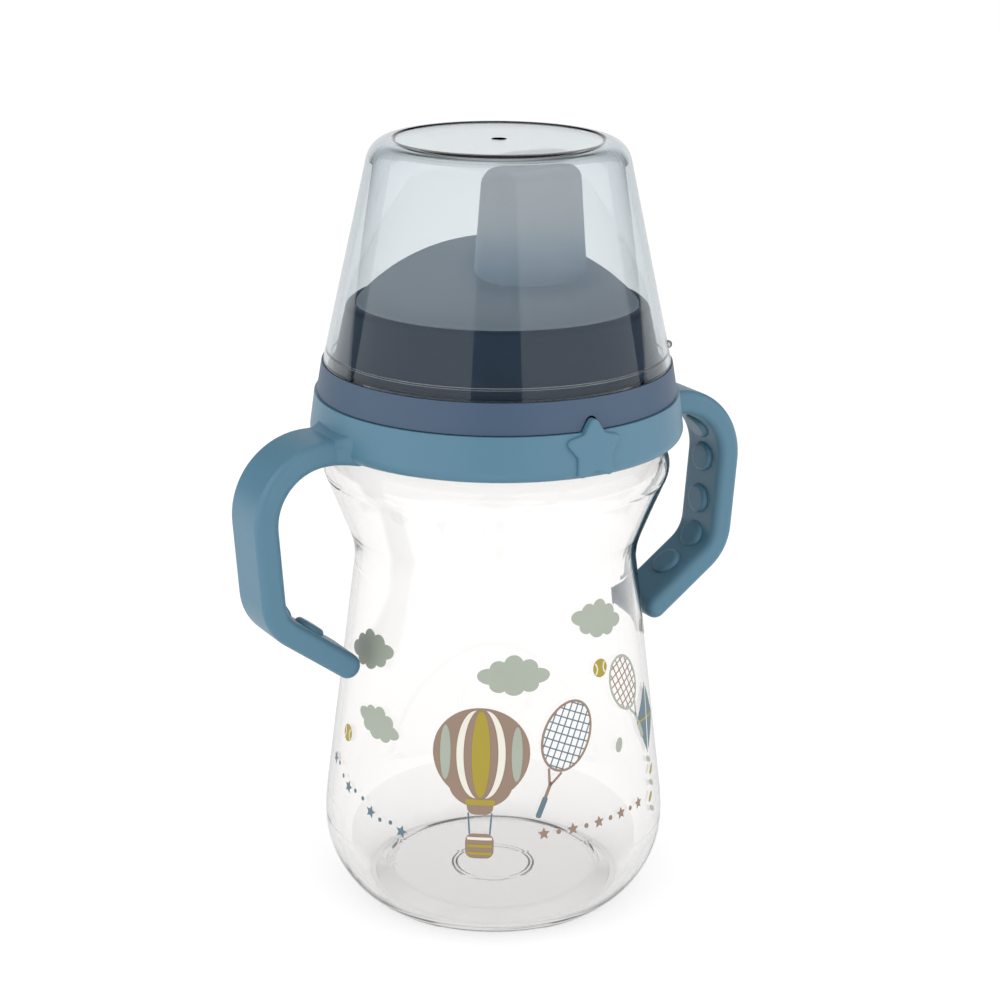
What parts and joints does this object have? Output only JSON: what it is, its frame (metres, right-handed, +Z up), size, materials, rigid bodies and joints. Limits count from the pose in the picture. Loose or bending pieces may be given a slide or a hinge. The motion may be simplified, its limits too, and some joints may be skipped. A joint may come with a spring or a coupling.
{
  "type": "sippy cup",
  "caption": "Toddler sippy cup with a clear waisted bottle, a two-handled ring, a screw lid with a soft oval spout and valve, and a tinted travel cap.",
  "frame": {"origin": "centre of the bottle's foot ring, on the surface it stands on", "axes": "+Z up along the bottle's axis, the two handles along -X and +X, the star and the offset spout towards -Y"},
  "size_m": [0.1108, 0.075, 0.1559],
  "materials": {
    "clear_plastic": "clear and glossy",
    "handle_plastic": "satin",
    "lid_plastic": "satin",
    "soft_silicone": "translucent, frosted",
    "valve_silicone": "translucent, frosted",
    "tinted_plastic": "clear, blue tint, glossy"
  },
  "bodies": {
    "bottle": {"bottle": "clear_plastic"},
    "handle_ring": {"handle_ring": "handle_plastic"},
    "lid": {"lid_ring": "lid_plastic", "silicone_spout": "soft_silicone"},
    "valve": {"spout_valve": "valve_silicone"},
    "cap": {"cap": "tinted_plastic"}
  },
  "joints": [
    {"name": "lid_turn", "type": "hinge", "parent": "bottle", "child": "handle_ring", "pos_m": [0, 0, 0.1], "axis": [0, 0, 1], "range_deg": [0, 360]},
    {"name": "lid_rise", "type": "slide", "parent": "handle_ring", "child": "lid", "axis": [0, 0, 1], "range_m": [0, 0.00401]},
    {"name": "cap_lift", "type": "slide", "parent": "lid", "child": "cap", "axis": [0, 0, 1], "range_m": [0, 0.05]},
    {"name": "valve_pull", "type": "slide", "parent": "lid", "child": "valve", "axis": [0, 0, -1], "range_m": [0, 0.01]}
  ],
  "couplings": [
    {"joint": "lid_rise", "follows": "lid_turn", "m_per_rad": 0.00063662}
  ]
}
